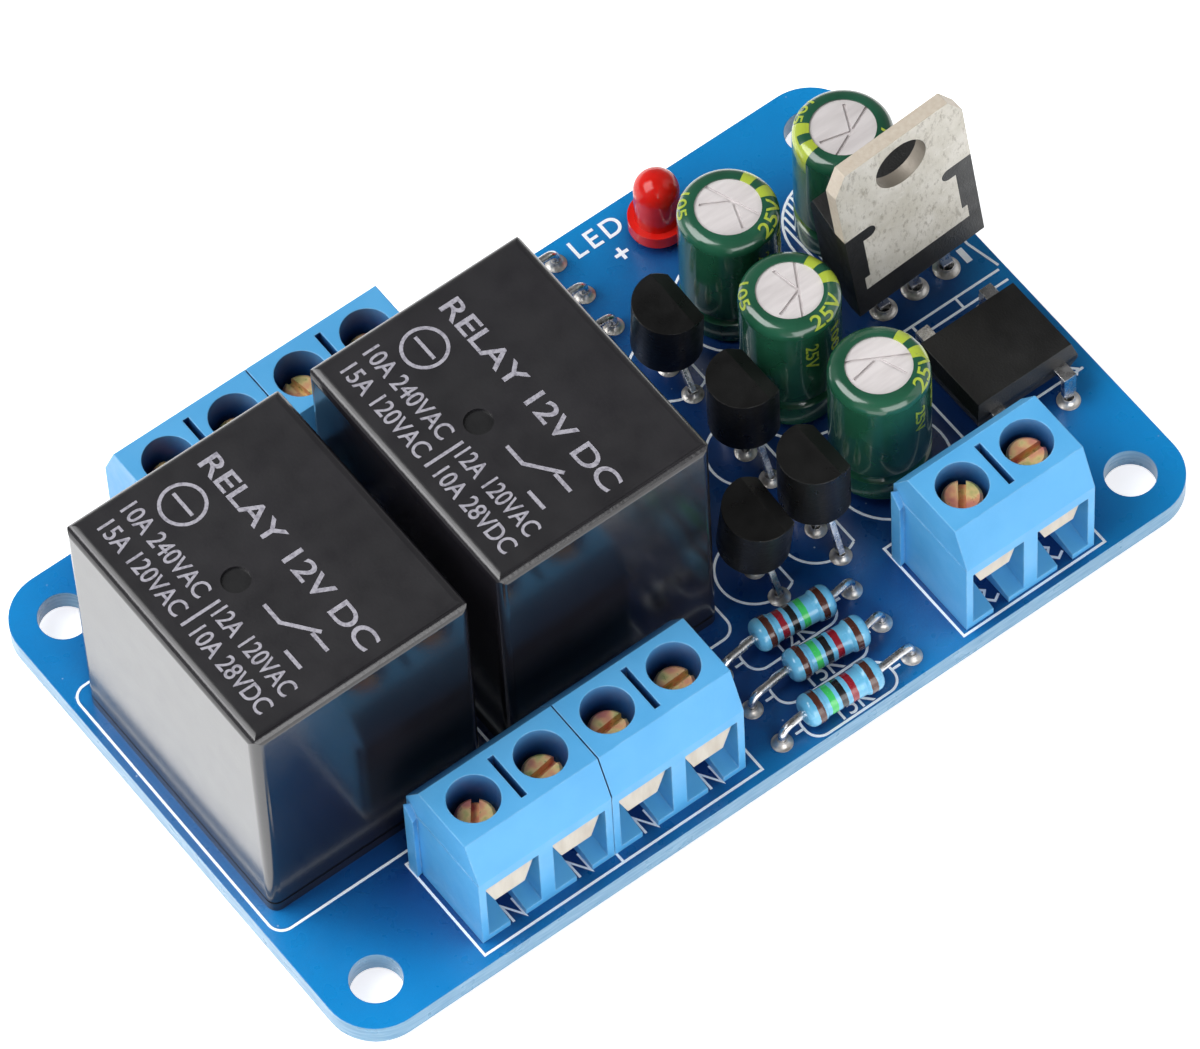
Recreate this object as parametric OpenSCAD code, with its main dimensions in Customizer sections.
// Speaker protection module: an open circuit board with two relays, five two-way screw blocks,
// a bridge rectifier, a regulator and a small timing stage.
// The front edge faces -Y and the relays stand at the -X end. The origin is under the middle of the
// board, at the tips of the solder joints. Places are measured from the board's front left corner.

/* [Board] */
// Thickness of the board
board_t = 1.6; // [1:0.1:3.2]
// Radius of the board's corners
corner_r = 3.5; // [1:0.1:6]
// Diameter of the corner mounting holes
mount_hole_d = 3.4; // [2.2:0.1:4.4]
// Distance from the board's edges to a mounting hole's centre
mount_inset = 3.5; // [3:0.1:6]
// Free board left of the relays
left_margin = 1.25; // [0.5:0.05:6]
// Width of the electronics field right of the relays
stage_w = 30.3; // [30:0.1:50]
// Free board in front of the front screw blocks
front_margin = 1.45; // [0.5:0.05:4]
// Free board behind the rear screw blocks
rear_margin = 0; // [0:0.05:4]
// Gap between the front screw blocks and the relays
front_gap = 2.15; // [0.5:0.05:8]
// Gap between the relays and the rear screw blocks
rear_gap = 1.85; // [0.5:0.05:8]

/* [Solder joints] */
// Height of the solder cones under the board
joint_h = 1.3; // [0.8:0.1:3]
// Width of the solder fillet outside its hole
fillet_w = 0.25; // [0.2:0.05:0.6]
// Gap between a lead and the wall of its hole
hole_gap = 0.15; // [0.05:0.01:0.25]
// Gap between pieces that are seated on each other
seat_gap = 0.02; // [0.01:0.01:0.05]

/* [Relays] */
// Width of a relay along X
relay_w = 16.2; // [12:0.1:20]
// Depth of a relay along Y
relay_d = 19.75; // [17.5:0.05:26]
// Height of a relay
relay_h = 20.4; // [12:0.1:26]
// Gap between the two relays
relay_gap = 2.05; // [0.5:0.05:8]
// Rounding of a relay's upper edges and corners
relay_round = 0.7; // [0.2:0.1:2]
// Height of the seam round the foot of a relay
relay_seam_z = 0.8; // [0.6:0.1:4]
// Distance between the two pins of a relay's pin rows
relay_pin_span = 12; // [8:0.1:13]
// Width of a relay pin
relay_pin_w = 0.9; // [0.5:0.1:1.2]

/* [Screw blocks] */
// Distance between neighbouring clamps
pole_pitch = 5.08; // [5:0.01:5.4]
// Depth of a block, front to back
block_d = 7.4; // [7.3:0.05:8.5]
// Height of a block
block_h = 10; // [9:0.1:12]
// Height of the upright part of a block's front
nose_h = 6.9; // [6.5:0.1:8]
// How far the sloped front leans back at the top
slope_run = 1.25; // [0.5:0.05:1.6]
// Height of the upright part of a block's back
rear_h = 7.9; // [7:0.1:8.8]
// How far the sloped back leans forward at the top
rear_run = 1.4; // [0.4:0.05:1.6]
// Width of a wire window
window_w = 4; // [3.6:0.05:4.2]
// Height of a wire window's upper edge
window_top = 6; // [5.5:0.1:6.4]
// Distance from a block's front to its screw axes
screw_setback = 3.65; // [3.4:0.05:3.7]
// Diameter of the shafts above the screws
screw_shaft_d = 3.4; // [3:0.1:3.6]
// Middle of the front row, from the board's left edge
front_row_x = 20.3; // [16:0.1:24]
// Middle of the rear row, from the board's left edge
rear_row_x = 19.95; // [16:0.1:24]
// Middle of the power block, from the relays' right side
power_x = 16.65; // [14:0.05:22]
// Free board in front of the power block
power_margin = 0.8; // [0.3:0.05:2]

/* [Clamps] */
// Diameter of a clamp screw
screw_d = 2.6; // [2:0.1:2.8]
// Height of a screw's top above the board at rest
screw_top = 8; // [6.8:0.1:9]
// Height of the wire guard's foot above the board at rest
guard_z = 3.3; // [3:0.1:3.6]
// How much further the power block's clamps are opened
power_lift = 0.7; // [0:0.1:0.8]
// Travel of a screw and its wire guard
clamp_travel = 1.5; // [0.5:0.1:1.8]
// Thickness of the wire guard's sheet
guard_t = 0.3; // [0.2:0.05:0.5]
// Thickness of the contact bracket's sheet
contact_t = 0.5; // [0.3:0.05:0.6]
// Running gap round a moving clamp piece
clamp_gap = 0.08; // [0.05:0.01:0.1]

/* [Capacitors] */
// Diameter of a capacitor can
can_d = 6.3; // [5:0.1:7]
// Height of a capacitor can
can_h = 10.4; // [7:0.1:16]
// Thickness of the printed sleeve
sleeve_t = 0.12; // [0.08:0.01:0.25]
// Width of the sleeve's turned rim on the top
sleeve_rim = 1; // [0.6:0.05:1.5]
// Distance between a capacitor's legs
can_pitch = 2.5; // [2:0.1:3.5]

/* [Regulator] */
// Width of the regulator
reg_w = 10; // [9.6:0.1:10.6]
// Height of the regulator with its tab
reg_h = 15.5; // [14.5:0.1:17]
// Height of the moulded body
reg_body_h = 8.7; // [8:0.1:10]
// Thickness of the moulded body
reg_body_t = 4.4; // [4:0.1:4.8]
// Thickness of the metal tab
tab_t = 1; // [0.8:0.05:1.4]
// Diameter of the hole in the tab
tab_hole_d = 3.9; // [3:0.1:4]
// Height of the regulator's body above the board
reg_lift = 5; // [3:0.1:7]
// Lean of the regulator to the rear
reg_lean = 2.5; // [0:0.1:5]
// Lean of the regulator to the left
reg_tip = 5.3; // [0:0.1:6]

/* [Bridge rectifier] */
// Width of the bridge's body along X
bridge_w = 8; // [7:0.1:8.8]
// Depth of the bridge's body along Y
bridge_d = 6.5; // [5.5:0.1:7]
// Height of the bridge's body
bridge_h = 2.5; // [2.2:0.1:4]
// Height of the bridge's body above the board
bridge_lift = 1.4; // [0.4:0.1:2]
// Distance between the bridge's two rows of leads
bridge_span = 8.4; // [8:0.1:9.4]

/* [Small parts] */
// Distance between neighbouring legs of the small parts
leg_pitch = 2.54; // [2.4:0.01:2.7]
// Radius of a transistor's round side
trans_r = 2.35; // [2:0.05:2.5]
// Height of a transistor's body
trans_h = 4.8; // [4:0.1:6]
// Distance from a transistor's legs to its flat side
trans_flat = 1.4; // [1:0.05:1.6]
// Diameter of the lamp's lens
led_d = 3; // [2.8:0.1:3.4]
// Height of the lamp's lens with its flange
led_h = 5.3; // [4.5:0.1:7]
// Diameter of the lamp's flange
led_flange_d = 3.9; // [3.6:0.1:4.5]
// Length of a resistor's body
res_len = 5.6; // [4:0.1:6.8]
// Diameter of a resistor's end caps
res_d = 2.25; // [1.6:0.05:2.6]
// Distance between a resistor's pads
res_span = 10.16; // [9.6:0.02:11]
// Distance between neighbouring resistors
res_pitch = 3.05; // [2.8:0.05:3.4]
// Distance from the board's edge to the nearest resistor
res_margin = 1.45; // [1.3:0.05:1.8]
// Diameter of the round leads
lead_d = 0.55; // [0.4:0.05:0.7]

/* [Hidden] */
$fn = 48;

// The board follows from the rows that stand on it
relay_y = front_margin + block_d + front_gap;
stage_x = left_margin + 2 * relay_w + relay_gap;
board_w = stage_x + stage_w;
board_d = relay_y + relay_d + rear_gap + block_d + rear_margin;
board_top = joint_h + board_t;
lead_end = -board_top + 0.15;
cut = 0.5;

// Relay feet, pins and marks
relay_rim = 1;
relay_relief = 0.5;
relay_pin_t = 0.4;
relay_pin_rows = [1.9, 3.9, 2.9];
relay_seam = [0.12, 0.18];
relay_vent = [0.37, 0.51];
relay_vent_d = 1.9;
relay_vent_depth = 0.2;
relay_left_x = left_margin;
relay_right_x = left_margin + relay_w + relay_gap;

// Block cavities: window floor below a lowered guard, pin slot, contact pocket and top slot
block_gap = 0.04;
block_w = 2 * pole_pitch - block_gap;
sill_h = 0.5;
floor_gap = 0.4;
floor_h = guard_z - clamp_travel - floor_gap;
ramp_run = 3.2;
pin_slot_w = 1.2;
pin_slot_x = 0.2;
pocket_w = 2.4;
pocket_back = 1.8;
cavity_back = block_d - pocket_back;
cavity_wide_back = cavity_back - contact_t - 0.2;
top_slot = [0.45, 3.5, 1.5];

// Block ends: step above the nose, and a joining rib with a sloped top below the sloped back
end_step = 0.05;
rib_out = 0.4;
rib_neck = 0.35;
rib_head = 0.45;
rib_inset = 0.75;
rib_slope = 1.1;
rib_drop = 0.15;
rib_top = rear_h - rib_drop;

// Clamp pieces inside a block
contact_plate_t = 0.8;
contact_plate_z = window_top - contact_plate_t;
contact_front = 1;
contact_w = window_w - 0.4;
contact_back_w = pocket_w - 0.2;
contact_pin_w = 1;
contact_pin_y = cavity_back - contact_t / 2;
guard_front = 0.4;
guard_w = window_w - 4 * clamp_gap;
guard_h = window_top - clamp_gap - guard_z;
guard_shoulder = 0.75;
guard_foot_w = 2.25;
guard_foot_back = cavity_back - contact_t - 0.3;
screw_slot = [0.5, 0.7];
screw_chamfer = 0.2;
slot_turns = [53, 8, 5, 2, 60, 20, 100, 40, 53, 0];

// Blocks as [x, y of the front face, turn], then their poles in the same form
front_y = front_margin;
rear_y = board_d - rear_margin;
block_places = [
    [front_row_x - pole_pitch, front_y, 0],
    [front_row_x + pole_pitch, front_y, 0],
    [rear_row_x - pole_pitch, rear_y, 180],
    [rear_row_x + pole_pitch, rear_y, 180],
    [stage_x + power_x, power_margin, 0]];
pole_places = [
    for (b = block_places)
        for (side = [-0.5, 0.5])
            [b.x + side * pole_pitch, b.y, b[2]]];
power_poles = [8, 9];
function lift(index) = len(search(index, power_poles)) > 0 ? power_lift : 0;

// Columns of the electronics field, from the relays' right side, and rows from the front margin
drive_col = 3.9;
timing_col = 8.75;
can_col = 15;
supply_col = 24.4;
timing_rows = [11.05, 18.3, 26.35];
can_rows = [12.5, 20.45, 27.95];
can_stagger = 0.9;

// Regulator: seat of its body, shape of its tab and its pads
reg_shift = -0.55;
reg_pad_shift = [0.3, 1.9];
reg_row = 19.5;
reg_x = stage_x + supply_col + reg_shift;
reg_y = front_margin + reg_row;
reg_pad_x = stage_x + supply_col + reg_pad_shift.x;
reg_pad_y = reg_y + reg_pad_shift.y;
reg_leg_t = 0.5;
reg_leg_w = 0.8;
reg_stub_w = 1.25;
reg_stub = 1.2;
reg_leg_y = 2.5;
tab_chamfer = [0.95, 1.7];
tab_hole_drop = 2.75;
tab_notch_h = 1.1;
tab_notch_in = 1.8;
slug_foot = 2.35;
slug_foot_h = 1.3;
slug_w = 7.35;
slug_foot_w = 8.2;
reg_bevel = 0.5;
reg_draft = 0.5;
reg_sweep = reg_body_h * sin(reg_lean);

// Capacitors as [x, y, height above the board, turn of the scores]: the first one stands behind the
// regulator
can_round = 0.75;
can_lifts = [0.1, 0.2, 0.5, 0.7];
score_turns = [25, 110, 60, 150];
can_groove_z = 2.2;
can_groove_r = 0.6;
can_groove_depth = 0.3;
score_w = 0.2;
score_depth = 0.15;
cap_gap = 0.75;
cap_leg_d = 0.5;
can_seats = [
    [stage_x + supply_col, reg_y + reg_body_t + reg_sweep + cap_gap + can_d / 2 + sleeve_t],
    [stage_x + can_col, front_margin + can_rows[2]],
    [stage_x + can_col - can_stagger, front_margin + can_rows[1]],
    [stage_x + can_col, front_margin + can_rows[0]]];
can_places = [for (i = [0:3]) [can_seats[i].x, can_seats[i].y, can_lifts[i], score_turns[i]]];

// Bridge
bridge_row = 12.95;
bridge_shift = 0.2;
bridge_x = stage_x + supply_col + bridge_shift;
bridge_y = front_margin + bridge_row;
bridge_draft = 0.3;
bridge_lead_t = 0.35;
bridge_lead_w = 0.95;
bridge_leg_w = 0.6;
bridge_leg_z = 0.9;

// Transistors as [x, y, height of the body above the board, lean to the front]
trans_leg_w = 0.42;
trans_exit = 1.27;
trans_stub = 0.6;
trans_ridge = 0.35;
trans_slope = 0.55;
trans_places = [
    [stage_x + timing_col, front_margin + timing_rows[2], 3.2, 4],
    [stage_x + timing_col, front_margin + timing_rows[1], 4, 0],
    [stage_x + timing_col, front_margin + timing_rows[0], 4.2, 0],
    [stage_x + drive_col, front_margin + timing_rows[0], 3.4, 8]];

// Lamp
led_shift = -0.4;
led_row = 3.4;
led_x = stage_x + can_col + led_shift;
led_y = board_d - led_row;
led_lift = 0.7;
led_flange_h = 1;
led_flat = 0.35;
led_lead_d = 0.5;

// Resistors as [x of the middle between the pads, y, shift of the body, turn of the body]
res_neck_d = res_d - 0.3;
res_cap_len = 1.5;
res_lift = 0.25;
res_z = res_lift + res_d / 2;
lead_bend = 0.7;
res_col = 2.65;
res_rear_shift = 0.15;
res_row_x = stage_x + res_col;
res_rear_x = res_row_x + res_rear_shift;
res_shifts = [-0.5, 0.75, 0.45];
res_turns = [-4, -6, -6];
res_places = concat(
    [for (i = [0:2]) [res_row_x, res_margin + i * res_pitch, res_shifts[i], res_turns[i]]],
    [for (i = [0:2]) [res_rear_x, board_d - res_margin - i * res_pitch, 0, 0]]);

// Soldered leads as [x, y, lead width across, 1 where the fillet shows on the upper side]
function relay_pin_spots(x) = [
    [x + relay_w / 2, relay_y + relay_d - relay_pin_rows[0]],
    for (side = [-0.5, 0.5])
        [x + relay_w / 2 + side * relay_pin_span, relay_y + relay_d - relay_pin_rows[1]],
    for (side = [-0.5, 0.5])
        [x + relay_w / 2 + side * relay_pin_span, relay_y + relay_pin_rows[2]]];
function turned(p, place) =
    [place.x + p.x * cos(place[2]) - p.y * sin(place[2]),
     place.y + p.x * sin(place[2]) + p.y * cos(place[2])];
relay_spots = concat(relay_pin_spots(relay_left_x), relay_pin_spots(relay_right_x));
contact_spots = [for (p = pole_places) turned([0, contact_pin_y], p)];
can_spots = [for (c = can_places) for (s = [-0.5, 0.5]) [c.x, c.y + s * can_pitch, c.z]];
reg_spots = [for (k = [-1:1]) [reg_pad_x + k * leg_pitch, reg_pad_y]];
bridge_spots = [
    for (sx = [-1, 1]) for (sy = [-0.5, 0.5])
        [bridge_x + sx * leg_pitch, bridge_y + sy * bridge_span]];
trans_spots = [for (t = trans_places) for (k = [-1:1]) [t.x, t.y + k * leg_pitch]];
led_spots = [for (s = [-0.5, 0.5]) [led_x + s * leg_pitch, led_y]];
res_spots = [for (r = res_places) for (s = [-0.5, 0.5]) [r.x + s * res_span, r.y]];
function spots(places, across, shows) = [for (p = places) [p.x, p.y, across, shows]];
lead_spots = concat(
    spots(relay_spots, norm([relay_pin_w, relay_pin_t]), 0),
    spots(contact_spots, norm([contact_pin_w, contact_t]), 0),
    spots(can_spots, cap_leg_d, 0),
    spots(reg_spots, norm([reg_leg_w, reg_leg_t]), 1),
    spots(bridge_spots, norm([bridge_leg_w, bridge_lead_t]), 1),
    spots(trans_spots, norm([trans_leg_w, trans_leg_w]), 1),
    spots(led_spots, led_lead_d, 0),
    spots(res_spots, lead_d, 1));
fillet_h = 0.45;

// Moves a piece from the board's front left corner to the middle, onto the board
module on_board(x = 0, y = 0) {
    translate([x - board_w / 2, y - board_d / 2, board_top]) children();
}

// Moves a piece from a block's front edge to its place
module at_place(place) {
    on_board(place.x, place.y) rotate(place[2]) children();
}

// Flat rectangle with round corners, from the origin
module rounded_rect(w, d, r) {
    translate([r, 0]) square([w - 2 * r, d]);
    translate([0, r]) square([w, d - 2 * r]);
    for (x = [r, w - r]) for (y = [r, d - r]) translate([x, y]) circle(r);
}

// Upright outline with two round upper corners, from the origin
module rounded_top(w, h, r) {
    square([w, h - r]);
    translate([r, 0]) square([w - 2 * r, h]);
    for (x = [r, w - r]) translate([x, h - r]) circle(r);
}

// Round lead that runs flat from its start, then turns down in a round bend and goes into its hole
module bent_lead(start, hole, d, bend) {
    run = hole - [start.x, start.y];
    reach = norm(run) - bend;
    translate(start) rotate(atan2(run.y, run.x)) {
        rotate([0, 90, 0]) cylinder(h = reach, d = d);
        translate([reach, 0, -bend]) rotate([90, 0, 0])
            rotate_extrude(angle = 90) translate([bend, 0]) circle(d = d);
        translate([reach + bend, 0, lead_end - start.z])
            cylinder(h = start.z - bend - lead_end, d = d);
    }
}

// Flat bar between two points, with its width kept along X
module strip(p, q, w, t) {
    run = q - p;
    way = run / norm(run);
    translate(p) rotate([-asin(way.y), atan2(way.x, way.z), 0])
        translate([-w / 2, -t / 2, 0]) cube([w, t, norm(run)]);
}

// Board with its mounting holes and a drilled hole for each lead
module circuit_board() {
    color("#1579c6") on_board() translate([0, 0, -board_t]) difference() {
        linear_extrude(board_t) rounded_rect(board_w, board_d, corner_r);
        for (x = [mount_inset, board_w - mount_inset])
            for (y = [mount_inset, board_d - mount_inset])
                translate([x, y, -cut]) cylinder(h = board_t + 2 * cut, d = mount_hole_d);
        for (s = lead_spots)
            translate([s.x, s.y, -cut])
                cylinder(h = board_t + 2 * cut, d = s[2] + 2 * hole_gap);
    }
}

// Solder cone under the board and, where it shows, a low fillet on the upper side
module solder_joints() {
    tip = 0.15;
    color("#c9ccd0") on_board() for (s = lead_spots) {
        base_r = s[2] / 2 + hole_gap + fillet_w;
        bore_r = s[2] / 2 + seat_gap;
        translate([s.x, s.y, -board_top]) difference() {
            cylinder(h = joint_h, r1 = bore_r + tip, r2 = base_r);
            translate([0, 0, -cut]) cylinder(h = joint_h + 2 * cut, r = bore_r);
        }
        if (s[3] == 1) translate([s.x, s.y, 0]) difference() {
            cylinder(h = fillet_h, r1 = base_r, r2 = bore_r + tip);
            translate([0, 0, -cut]) cylinder(h = fillet_h + 2 * cut, r = bore_r);
        }
    }
}

// Sealed relay case: rounded box on a rim, with a seam round its foot and a vent on top
module relay_case(x) {
    color("#2d2d33") on_board(x, relay_y) difference() {
        intersection() {
            linear_extrude(relay_h) rounded_rect(relay_w, relay_d, relay_round);
            translate([0, relay_d, 0]) rotate([90, 0, 0]) linear_extrude(relay_d)
                rounded_top(relay_w, relay_h, relay_round);
            rotate([90, 0, 90]) linear_extrude(relay_w)
                rounded_top(relay_d, relay_h, relay_round);
        }
        translate([relay_rim, relay_rim, -cut])
            cube([relay_w - 2 * relay_rim, relay_d - 2 * relay_rim, relay_relief + cut]);
        translate([0, 0, relay_seam_z]) linear_extrude(relay_seam[1]) difference() {
            translate([-cut, -cut]) square([relay_w + 2 * cut, relay_d + 2 * cut]);
            translate([relay_seam[0], relay_seam[0]])
                rounded_rect(relay_w - 2 * relay_seam[0], relay_d - 2 * relay_seam[0], relay_round);
        }
        translate([relay_vent.x * relay_w, relay_vent.y * relay_d, relay_h - relay_vent_depth])
            cylinder(h = relay_vent_depth + cut, d = relay_vent_d);
    }
}
module relay_left() { relay_case(relay_left_x); }
module relay_right() { relay_case(relay_right_x); }

// Flat pins from the relays' undersides to the solder
module relay_pins() {
    color("#c8b48c") for (s = relay_spots)
        on_board(s.x, s.y) translate([-relay_pin_w / 2, -relay_pin_t / 2, lead_end])
            cube([relay_pin_w, relay_pin_t, relay_relief - lead_end]);
}

// Side outline of a block, as depth and height
module block_side() {
    polygon([[0, 0], [0, nose_h], [slope_run, block_h],
             [block_d - rear_run, block_h], [block_d, rear_h], [block_d, 0]]);
}

// Outline of the joining rib at a block's end, widened by a gap for its groove
module rib_outline(gap) {
    polygon([[end_step, -rib_neck - gap], [0, -rib_neck - gap], [-rib_out - gap, -rib_head - gap],
             [-rib_out - gap, rib_head + gap], [0, rib_neck + gap], [end_step, rib_neck + gap]]);
}

// Joining rib: its outline, cut to a sloped top
module joining_rib() {
    intersection() {
        linear_extrude(rib_top) rib_outline(0);
        translate([-2 * rib_out, 0, 0]) rotate([90, 0, 90]) linear_extrude(4 * rib_out)
            polygon([[-rib_head, 0], [rib_head, 0],
                     [rib_head, rib_top], [-rib_head, rib_top - rib_slope]]);
    }
}

// Space for one pole: window and ramped floor, slot for a raised guard, contact pocket, floor slot,
// pin hole and screw shaft
module pole_space() {
    translate([-window_w / 2, 0, 0]) rotate([90, 0, 90]) linear_extrude(window_w)
        polygon([[-cut, sill_h], [0, sill_h], [ramp_run, floor_h], [cavity_wide_back, floor_h],
                 [cavity_wide_back, window_top], [-cut, window_top]]);
    translate([-window_w / 2, guard_front - clamp_gap, window_top - cut])
        cube([window_w, guard_t + 2 * clamp_gap, cut + power_lift + clamp_gap]);
    translate([-pocket_w / 2, cavity_wide_back - cut, floor_h])
        cube([pocket_w, cavity_back - cavity_wide_back + cut, window_top - floor_h]);
    translate([pin_slot_x - pin_slot_w / 2, -cut, -cut])
        cube([pin_slot_w, ramp_run + cut, floor_h + 2 * cut]);
    translate([0, contact_pin_y, -cut])
        cylinder(h = floor_h + 2 * cut, d = norm([contact_pin_w, contact_t]) + 2 * seat_gap);
    translate([0, screw_setback, window_top - cut])
        cylinder(h = block_h - window_top + 2 * cut, d = screw_shaft_d);
}

// Moulded body of a two-way block, with a step above the nose on its left end
module block_body() {
    difference() {
        translate([-block_w / 2, 0, 0]) rotate([90, 0, 90]) linear_extrude(block_w) block_side();
        translate([-block_w / 2 - cut, -cut, nose_h])
            cube([end_step + cut, block_d + 2 * cut, block_h]);
    }
}

// Two-way block: its body with a joining rib on one end and the groove for it on the other
module terminal_block(index) {
    color("#3f9be6") at_place(block_places[index]) difference() {
        union() {
            block_body();
            translate([-block_w / 2, block_d - rib_inset, 0]) joining_rib();
        }
        for (side = [-0.5, 0.5]) translate([side * pole_pitch, 0, 0]) pole_space();
        translate([block_w / 2, block_d - rib_inset, -cut]) linear_extrude(rib_top + clamp_gap + cut)
            rib_outline(clamp_gap);
        translate([-top_slot.x / 2, screw_setback - top_slot.y / 2, block_h - top_slot.z])
            cube([top_slot.x, top_slot.y, top_slot.z + cut]);
    }
}
module terminal_front_left() { terminal_block(0); }
module terminal_front_right() { terminal_block(1); }
module terminal_rear_left() { terminal_block(2); }
module terminal_rear_right() { terminal_block(3); }
module terminal_power() { terminal_block(4); }

// Contact brackets: threaded plate under the roof, back wall and solder pin
module terminal_contacts() {
    color("#d8c9a0") for (p = pole_places) at_place(p) difference() {
        union() {
            translate([-contact_w / 2, contact_front, contact_plate_z])
                cube([contact_w, cavity_wide_back - seat_gap - contact_front, contact_plate_t]);
            translate([-contact_back_w / 2, contact_front, contact_plate_z])
                cube([contact_back_w, cavity_back - contact_front, contact_plate_t]);
            translate([-contact_back_w / 2, cavity_back - contact_t, floor_h])
                cube([contact_back_w, contact_t, window_top - floor_h]);
            translate([-contact_pin_w / 2, cavity_back - contact_t, lead_end])
                cube([contact_pin_w, contact_t, floor_h - lead_end]);
        }
        translate([0, screw_setback, contact_plate_z - cut])
            cylinder(h = contact_plate_t + 2 * cut, d = screw_d + 2 * clamp_gap);
    }
}

// Headless slotted screw that stands on the foot of its wire guard
module clamp_screw(index) {
    tip_z = guard_z + guard_t + seat_gap;
    color("#c2ab6a") at_place(pole_places[index]) translate([0, screw_setback, lift(index)]) difference() {
        union() {
            translate([0, 0, tip_z]) cylinder(h = screw_top - screw_chamfer - tip_z, d = screw_d);
            translate([0, 0, screw_top - screw_chamfer])
                cylinder(h = screw_chamfer, d1 = screw_d, d2 = screw_d - 2 * screw_chamfer);
        }
        translate([0, 0, screw_top]) rotate(slot_turns[index])
            cube([screw_d + 2 * cut, screw_slot[0], 2 * screw_slot[1]], center = true);
    }
}

// Bent wire guard: tapered front plate and a foot under the screw
module wire_guard(index) {
    color("#e4dcc8") at_place(pole_places[index]) translate([0, guard_front, guard_z + lift(index)]) {
        translate([0, guard_t, 0]) rotate([90, 0, 0]) linear_extrude(guard_t)
            polygon([[-guard_foot_w / 2, 0], [guard_foot_w / 2, 0],
                     [guard_w / 2, guard_shoulder * guard_h], [guard_w / 2, guard_h],
                     [-guard_w / 2, guard_h], [-guard_w / 2, guard_shoulder * guard_h]]);
        translate([-guard_foot_w / 2, 0, 0])
            cube([guard_foot_w, guard_foot_back - guard_front, guard_t]);
    }
}

// Half outline of a can: round shoulder and a crimped groove near the foot
module can_outline(grow) {
    r = can_d / 2 + grow;
    e = can_round + grow;
    difference() {
        union() {
            translate([0, -grow]) square([r - e, can_h + 2 * grow]);
            translate([0, -grow]) square([r, can_h - can_round + grow]);
            translate([r - e, can_h - can_round]) circle(e);
        }
        translate([can_d / 2 + can_groove_r - can_groove_depth, can_groove_z])
            circle(can_groove_r - grow);
    }
}

// Aluminium can with three scores pressed into its top
module capacitor_can(index) {
    place = can_places[index];
    score_len = can_d / 2 - sleeve_rim;
    color("#cfccd2") on_board(place.x, place.y) translate([0, 0, place.z]) difference() {
        rotate_extrude() can_outline(0);
        rotate(place[3]) translate([0, 0, can_h - score_depth]) {
            translate([-score_len, -score_w / 2 - 0.6, 0])
                cube([2 * score_len, score_w, score_depth + cut]);
            for (turn = [40, 140]) translate([0, -0.6, 0]) rotate(turn)
                translate([0, -score_w / 2, 0]) cube([score_len, score_w, score_depth + cut]);
        }
    }
}

// Printed sleeve: shrunk round the can and over its shoulder
module capacitor_sleeve(index) {
    place = can_places[index];
    color("#1c5a3a") on_board(place.x, place.y) translate([0, 0, place.z]) rotate_extrude()
        difference() {
            can_outline(sleeve_t);
            can_outline(seat_gap / 2);
            translate([0, -can_h]) square([can_d / 2 - sleeve_rim, 3 * can_h]);
            translate([0, -can_h]) square([can_d, can_h]);
        }
}

// Legs of the capacitors
module capacitor_leads() {
    color("#c9ccd0") for (s = can_spots)
        on_board(s.x, s.y) translate([0, 0, lead_end])
            cylinder(h = s.z - lead_end, d = cap_leg_d);
}

// Moves a piece to the regulator's leaning seat: x across, y to the rear, z up from its foot
module at_regulator() {
    on_board(reg_x, reg_y) translate([0, 0, reg_lift]) rotate([-reg_lean, -reg_tip, 0]) children();
}

// Outline of the regulator's metal, from the slug's foot to the tab's top
module tab_outline() {
    notch_z = reg_body_h - tab_notch_h;
    difference() {
        union() {
            translate([-slug_foot_w / 2, slug_foot]) square([slug_foot_w, slug_foot_h]);
            translate([-slug_w / 2, slug_foot]) square([slug_w, reg_body_h - slug_foot]);
            polygon([[-reg_w / 2, notch_z], [reg_w / 2, notch_z],
                     [reg_w / 2, reg_h - tab_chamfer.y], [reg_w / 2 - tab_chamfer.x, reg_h],
                     [-reg_w / 2 + tab_chamfer.x, reg_h], [-reg_w / 2, reg_h - tab_chamfer.y]]);
        }
        for (side = [-1, 1]) translate([side * (reg_w / 2 - tab_notch_in), notch_z + tab_notch_h / 2]) {
            circle(d = tab_notch_h);
            translate([side > 0 ? 0 : -reg_w, -tab_notch_h / 2]) square([reg_w, tab_notch_h]);
        }
        translate([0, reg_h - tab_hole_drop]) circle(d = tab_hole_d);
    }
}

// Metal tab with its slug, facing the front
module regulator_tab() {
    color("#cdc6ba") at_regulator() translate([0, tab_t, 0]) rotate([90, 0, 0])
        linear_extrude(tab_t) tab_outline();
}

// Moulded body round the slug, with bevelled rear edges and drafted sides behind the tab
module regulator_body() {
    half = reg_w / 2;
    color("#222226") at_regulator() difference() {
        intersection() {
            translate([half, 0, 0]) rotate([90, 0, -90]) linear_extrude(reg_w)
                polygon([[0, 0], [0, reg_body_h],
                         [-reg_body_t + reg_bevel, reg_body_h], [-reg_body_t, reg_body_h - 2 * reg_bevel],
                         [-reg_body_t, reg_bevel], [-reg_body_t + reg_bevel, 0]]);
            linear_extrude(reg_body_h)
                polygon([[-half, 0], [half, 0], [half, tab_t], [half - reg_draft, reg_body_t],
                         [-half + reg_draft, reg_body_t], [-half, tab_t]]);
        }
        translate([0, tab_t, 0]) rotate([90, 0, 0]) linear_extrude(tab_t + cut) tab_outline();
    }
}

// A point of the regulator's leaning seat, as a place above the board
function reg_point(p) =
    let (y = p.y * cos(reg_lean) + p.z * sin(reg_lean))
    let (z = p.z * cos(reg_lean) - p.y * sin(reg_lean))
    [reg_x + p.x * cos(reg_tip) - z * sin(reg_tip), reg_y + y,
     reg_lift + p.x * sin(reg_tip) + z * cos(reg_tip)];

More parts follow.
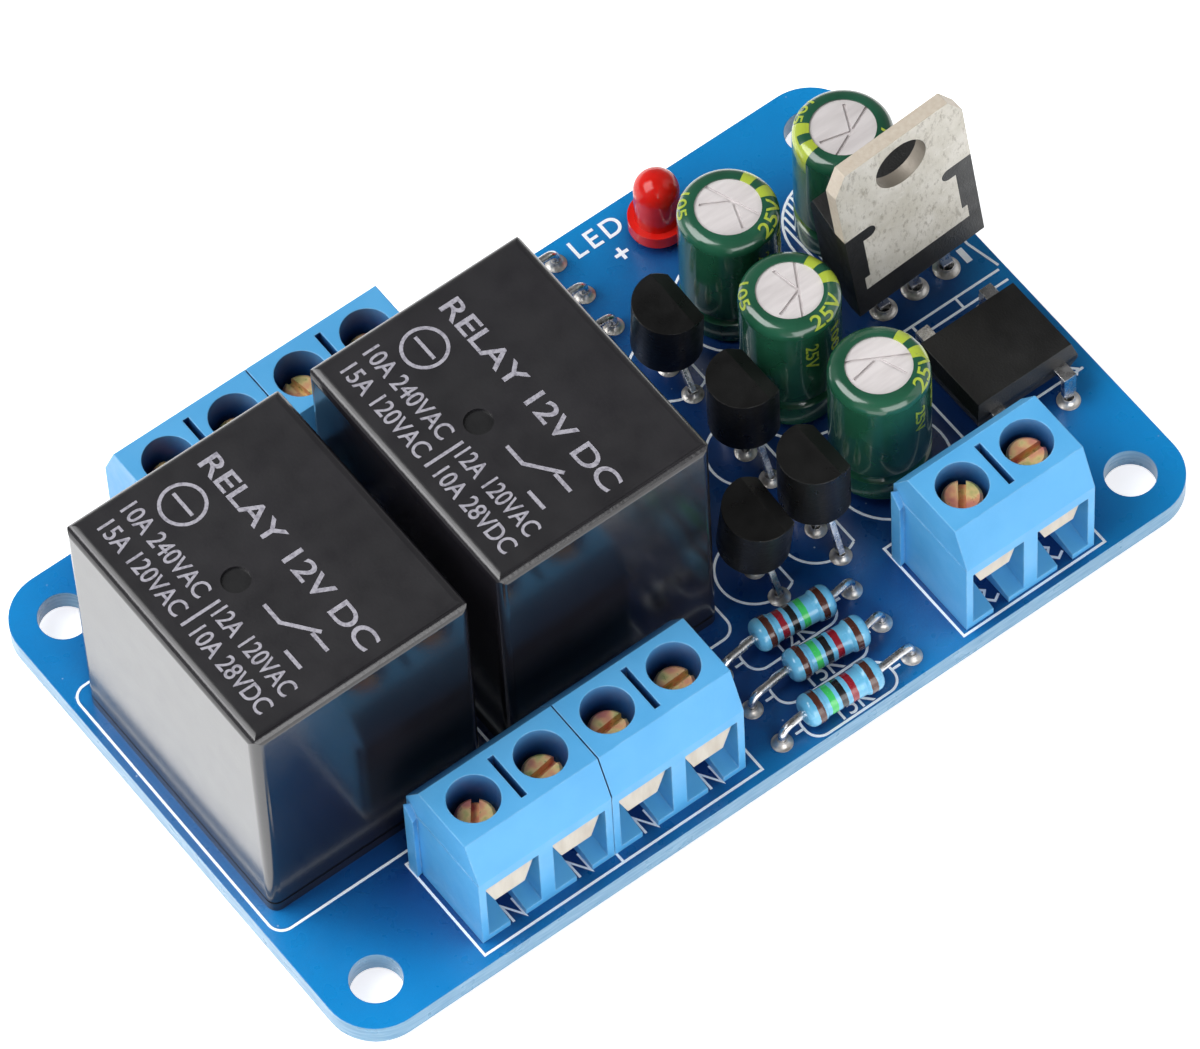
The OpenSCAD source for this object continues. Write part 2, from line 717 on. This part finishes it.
// Three flat legs: a wide stub under the body, a slanted length and a straight end in the pad
module regulator_leads() {
    lap = 0.15;
    color("#c9c6c0") for (k = [-1:1]) {
        foot = [reg_pad_x + k * leg_pitch, reg_pad_y, fillet_h + lap];
        at_regulator() translate([k * leg_pitch - reg_stub_w / 2, reg_leg_y - reg_leg_t / 2, -reg_stub])
            cube([reg_stub_w, reg_leg_t, reg_stub]);
        on_board() {
            strip(foot, reg_point([k * leg_pitch, reg_leg_y, lap - reg_stub]), reg_leg_w, reg_leg_t);
            translate([foot.x - reg_leg_w / 2, foot.y - reg_leg_t / 2, lead_end])
                cube([reg_leg_w, reg_leg_t, foot.z + lap - lead_end]);
        }
    }
}

// Side outline of the bridge: drafted above and below a flat band at its leads
module bridge_side(w) {
    band = bridge_lead_t / 2;
    mid = bridge_h / 2;
    top_w = w - 2 * bridge_draft;
    polygon([[-top_w / 2, 0], [top_w / 2, 0], [w / 2, mid - band], [w / 2, mid + band],
             [top_w / 2, bridge_h], [-top_w / 2, bridge_h], [-w / 2, mid + band], [-w / 2, mid - band]]);
}

// Bridge body
module bridge_body() {
    color("#26262a") on_board(bridge_x, bridge_y) translate([0, 0, bridge_lift]) intersection() {
        translate([0, bridge_d / 2, 0]) rotate([90, 0, 0]) linear_extrude(bridge_d)
            bridge_side(bridge_w);
        translate([-bridge_w / 2, 0, 0]) rotate([90, 0, 90]) linear_extrude(bridge_w)
            bridge_side(bridge_d);
    }
}

// Bridge leads: flat shoulder out of the parting line, then down to a narrower leg in the solder
module bridge_leads() {
    lead_z = bridge_lift + bridge_h / 2 - bridge_lead_t / 2;
    reach = bridge_span / 2 - bridge_d / 2 + bridge_lead_t / 2;
    color("#c9ccd0") for (sx = [-1, 1]) for (turn = [0, 180])
        on_board(bridge_x + sx * leg_pitch, bridge_y) rotate(turn)
            translate([0, -bridge_d / 2, 0]) {
                translate([-bridge_lead_w / 2, -reach, lead_z])
                    cube([bridge_lead_w, reach, bridge_lead_t]);
                translate([-bridge_lead_w / 2, -reach, bridge_leg_z])
                    cube([bridge_lead_w, bridge_lead_t, lead_z + bridge_lead_t - bridge_leg_z]);
                translate([-bridge_leg_w / 2, -reach, lead_end])
                    cube([bridge_leg_w, bridge_lead_t, lead_z - lead_end]);
            }
}

// Moves a piece to a transistor's seat, leaning to the front over its legs
module at_transistor(place) {
    on_board(place.x, place.y) translate([0, 0, place[2]]) rotate([place[3], 0, 0]) children();
}

// Transistor body: round at the back, flat in front, with a sloped edge over the flat side
module transistor(index) {
    slope_angle = atan2(trans_slope, trans_flat - trans_ridge);
    color("#202022") at_transistor(trans_places[index]) difference() {
        linear_extrude(trans_h) intersection() {
            circle(trans_r);
            translate([-2 * trans_r, -2 * trans_r]) square([2 * trans_r + trans_flat, 4 * trans_r]);
        }
        translate([trans_ridge, -2 * trans_r, trans_h]) rotate([0, slope_angle, 0])
            cube([2 * trans_r, 4 * trans_r, trans_h]);
    }
}

// Transistor legs: square wires, straight out of the body, then spread to their pads
module transistor_leads() {
    half = trans_leg_w / 2;
    color("#c9ccd0") for (t = trans_places) for (k = [-1:1]) {
        slope = tan(t[3]);
        exit_y = k * trans_exit;
        knee_z = t[2] - trans_stub + exit_y * slope;
        pad_y = k * leg_pitch;
        on_board(t.x - half, t.y) rotate([90, 0, 90]) linear_extrude(trans_leg_w) polygon([
            [exit_y - half, t[2] + (exit_y - half) * slope], [exit_y - half, knee_z],
            [pad_y - half, fillet_h], [pad_y - half, lead_end],
            [pad_y + half, lead_end], [pad_y + half, fillet_h],
            [exit_y + half, knee_z], [exit_y + half, t[2] + (exit_y + half) * slope]]);
    }
}

// Lamp lens: flange with one flat, then a column with a dome
module led_lens() {
    color("#d8201c") on_board(led_x, led_y) translate([0, 0, led_lift]) {
        difference() {
            cylinder(h = led_flange_h, d = led_flange_d);
            translate([led_flange_d / 2 - led_flat, -led_flange_d, -cut])
                cube([led_flange_d, 2 * led_flange_d, led_flange_h + 2 * cut]);
        }
        cylinder(h = led_h - led_d / 2, d = led_d);
        translate([0, 0, led_h - led_d / 2]) sphere(d = led_d);
    }
}

// Lamp legs
module led_leads() {
    color("#c9ccd0") for (s = led_spots)
        on_board(s.x, s.y) translate([0, 0, lead_end])
            cylinder(h = led_lift - lead_end, d = led_lead_d);
}

// Resistor body: a thinner waist between two round caps
module resistor(index) {
    place = res_places[index];
    cap_r = res_d / 2;
    edge = 0.5;
    color("#5fb6de") on_board(place.x + place[2], place.y) translate([0, 0, res_z])
        rotate([0, 90, place[3]]) rotate_extrude() {
            translate([0, -res_len / 2 + edge]) square([res_neck_d / 2, res_len - 2 * edge]);
            for (side = [0, 1]) mirror([0, side]) translate([0, res_len / 2 - res_cap_len]) {
                square([cap_r - edge, res_cap_len]);
                translate([0, edge]) square([cap_r, res_cap_len - 2 * edge]);
                for (y = [edge, res_cap_len - edge]) translate([cap_r - edge, y]) circle(edge);
            }
        }
}

// Resistor leads from the caps to their pads
module resistor_leads() {
    color("#c9ccd0") for (r = res_places) for (s = [-1, 1]) {
        cap_end = [r.x + r[2] + s * cos(r[3]) * res_len / 2, r.y + s * sin(r[3]) * res_len / 2, res_z];
        on_board() bent_lead(cap_end, [r.x + s * res_span / 2, r.y], lead_d, lead_bend);
    }
}

circuit_board();
relay_left();
relay_right();
relay_pins();
terminal_front_left();
terminal_front_right();
terminal_rear_left();
terminal_rear_right();
terminal_power();
terminal_contacts();
for (i = [1:10]) clamp_screw(i - 1);
for (i = [1:10]) wire_guard(i - 1);
for (i = [1:4]) capacitor_can(i - 1);
for (i = [1:4]) capacitor_sleeve(i - 1);
capacitor_leads();
regulator_body();
regulator_tab();
regulator_leads();
bridge_body();
bridge_leads();
for (i = [1:4]) transistor(i - 1);
transistor_leads();
led_lens();
led_leads();
for (i = [1:6]) resistor(i - 1);
resistor_leads();
solder_joints();
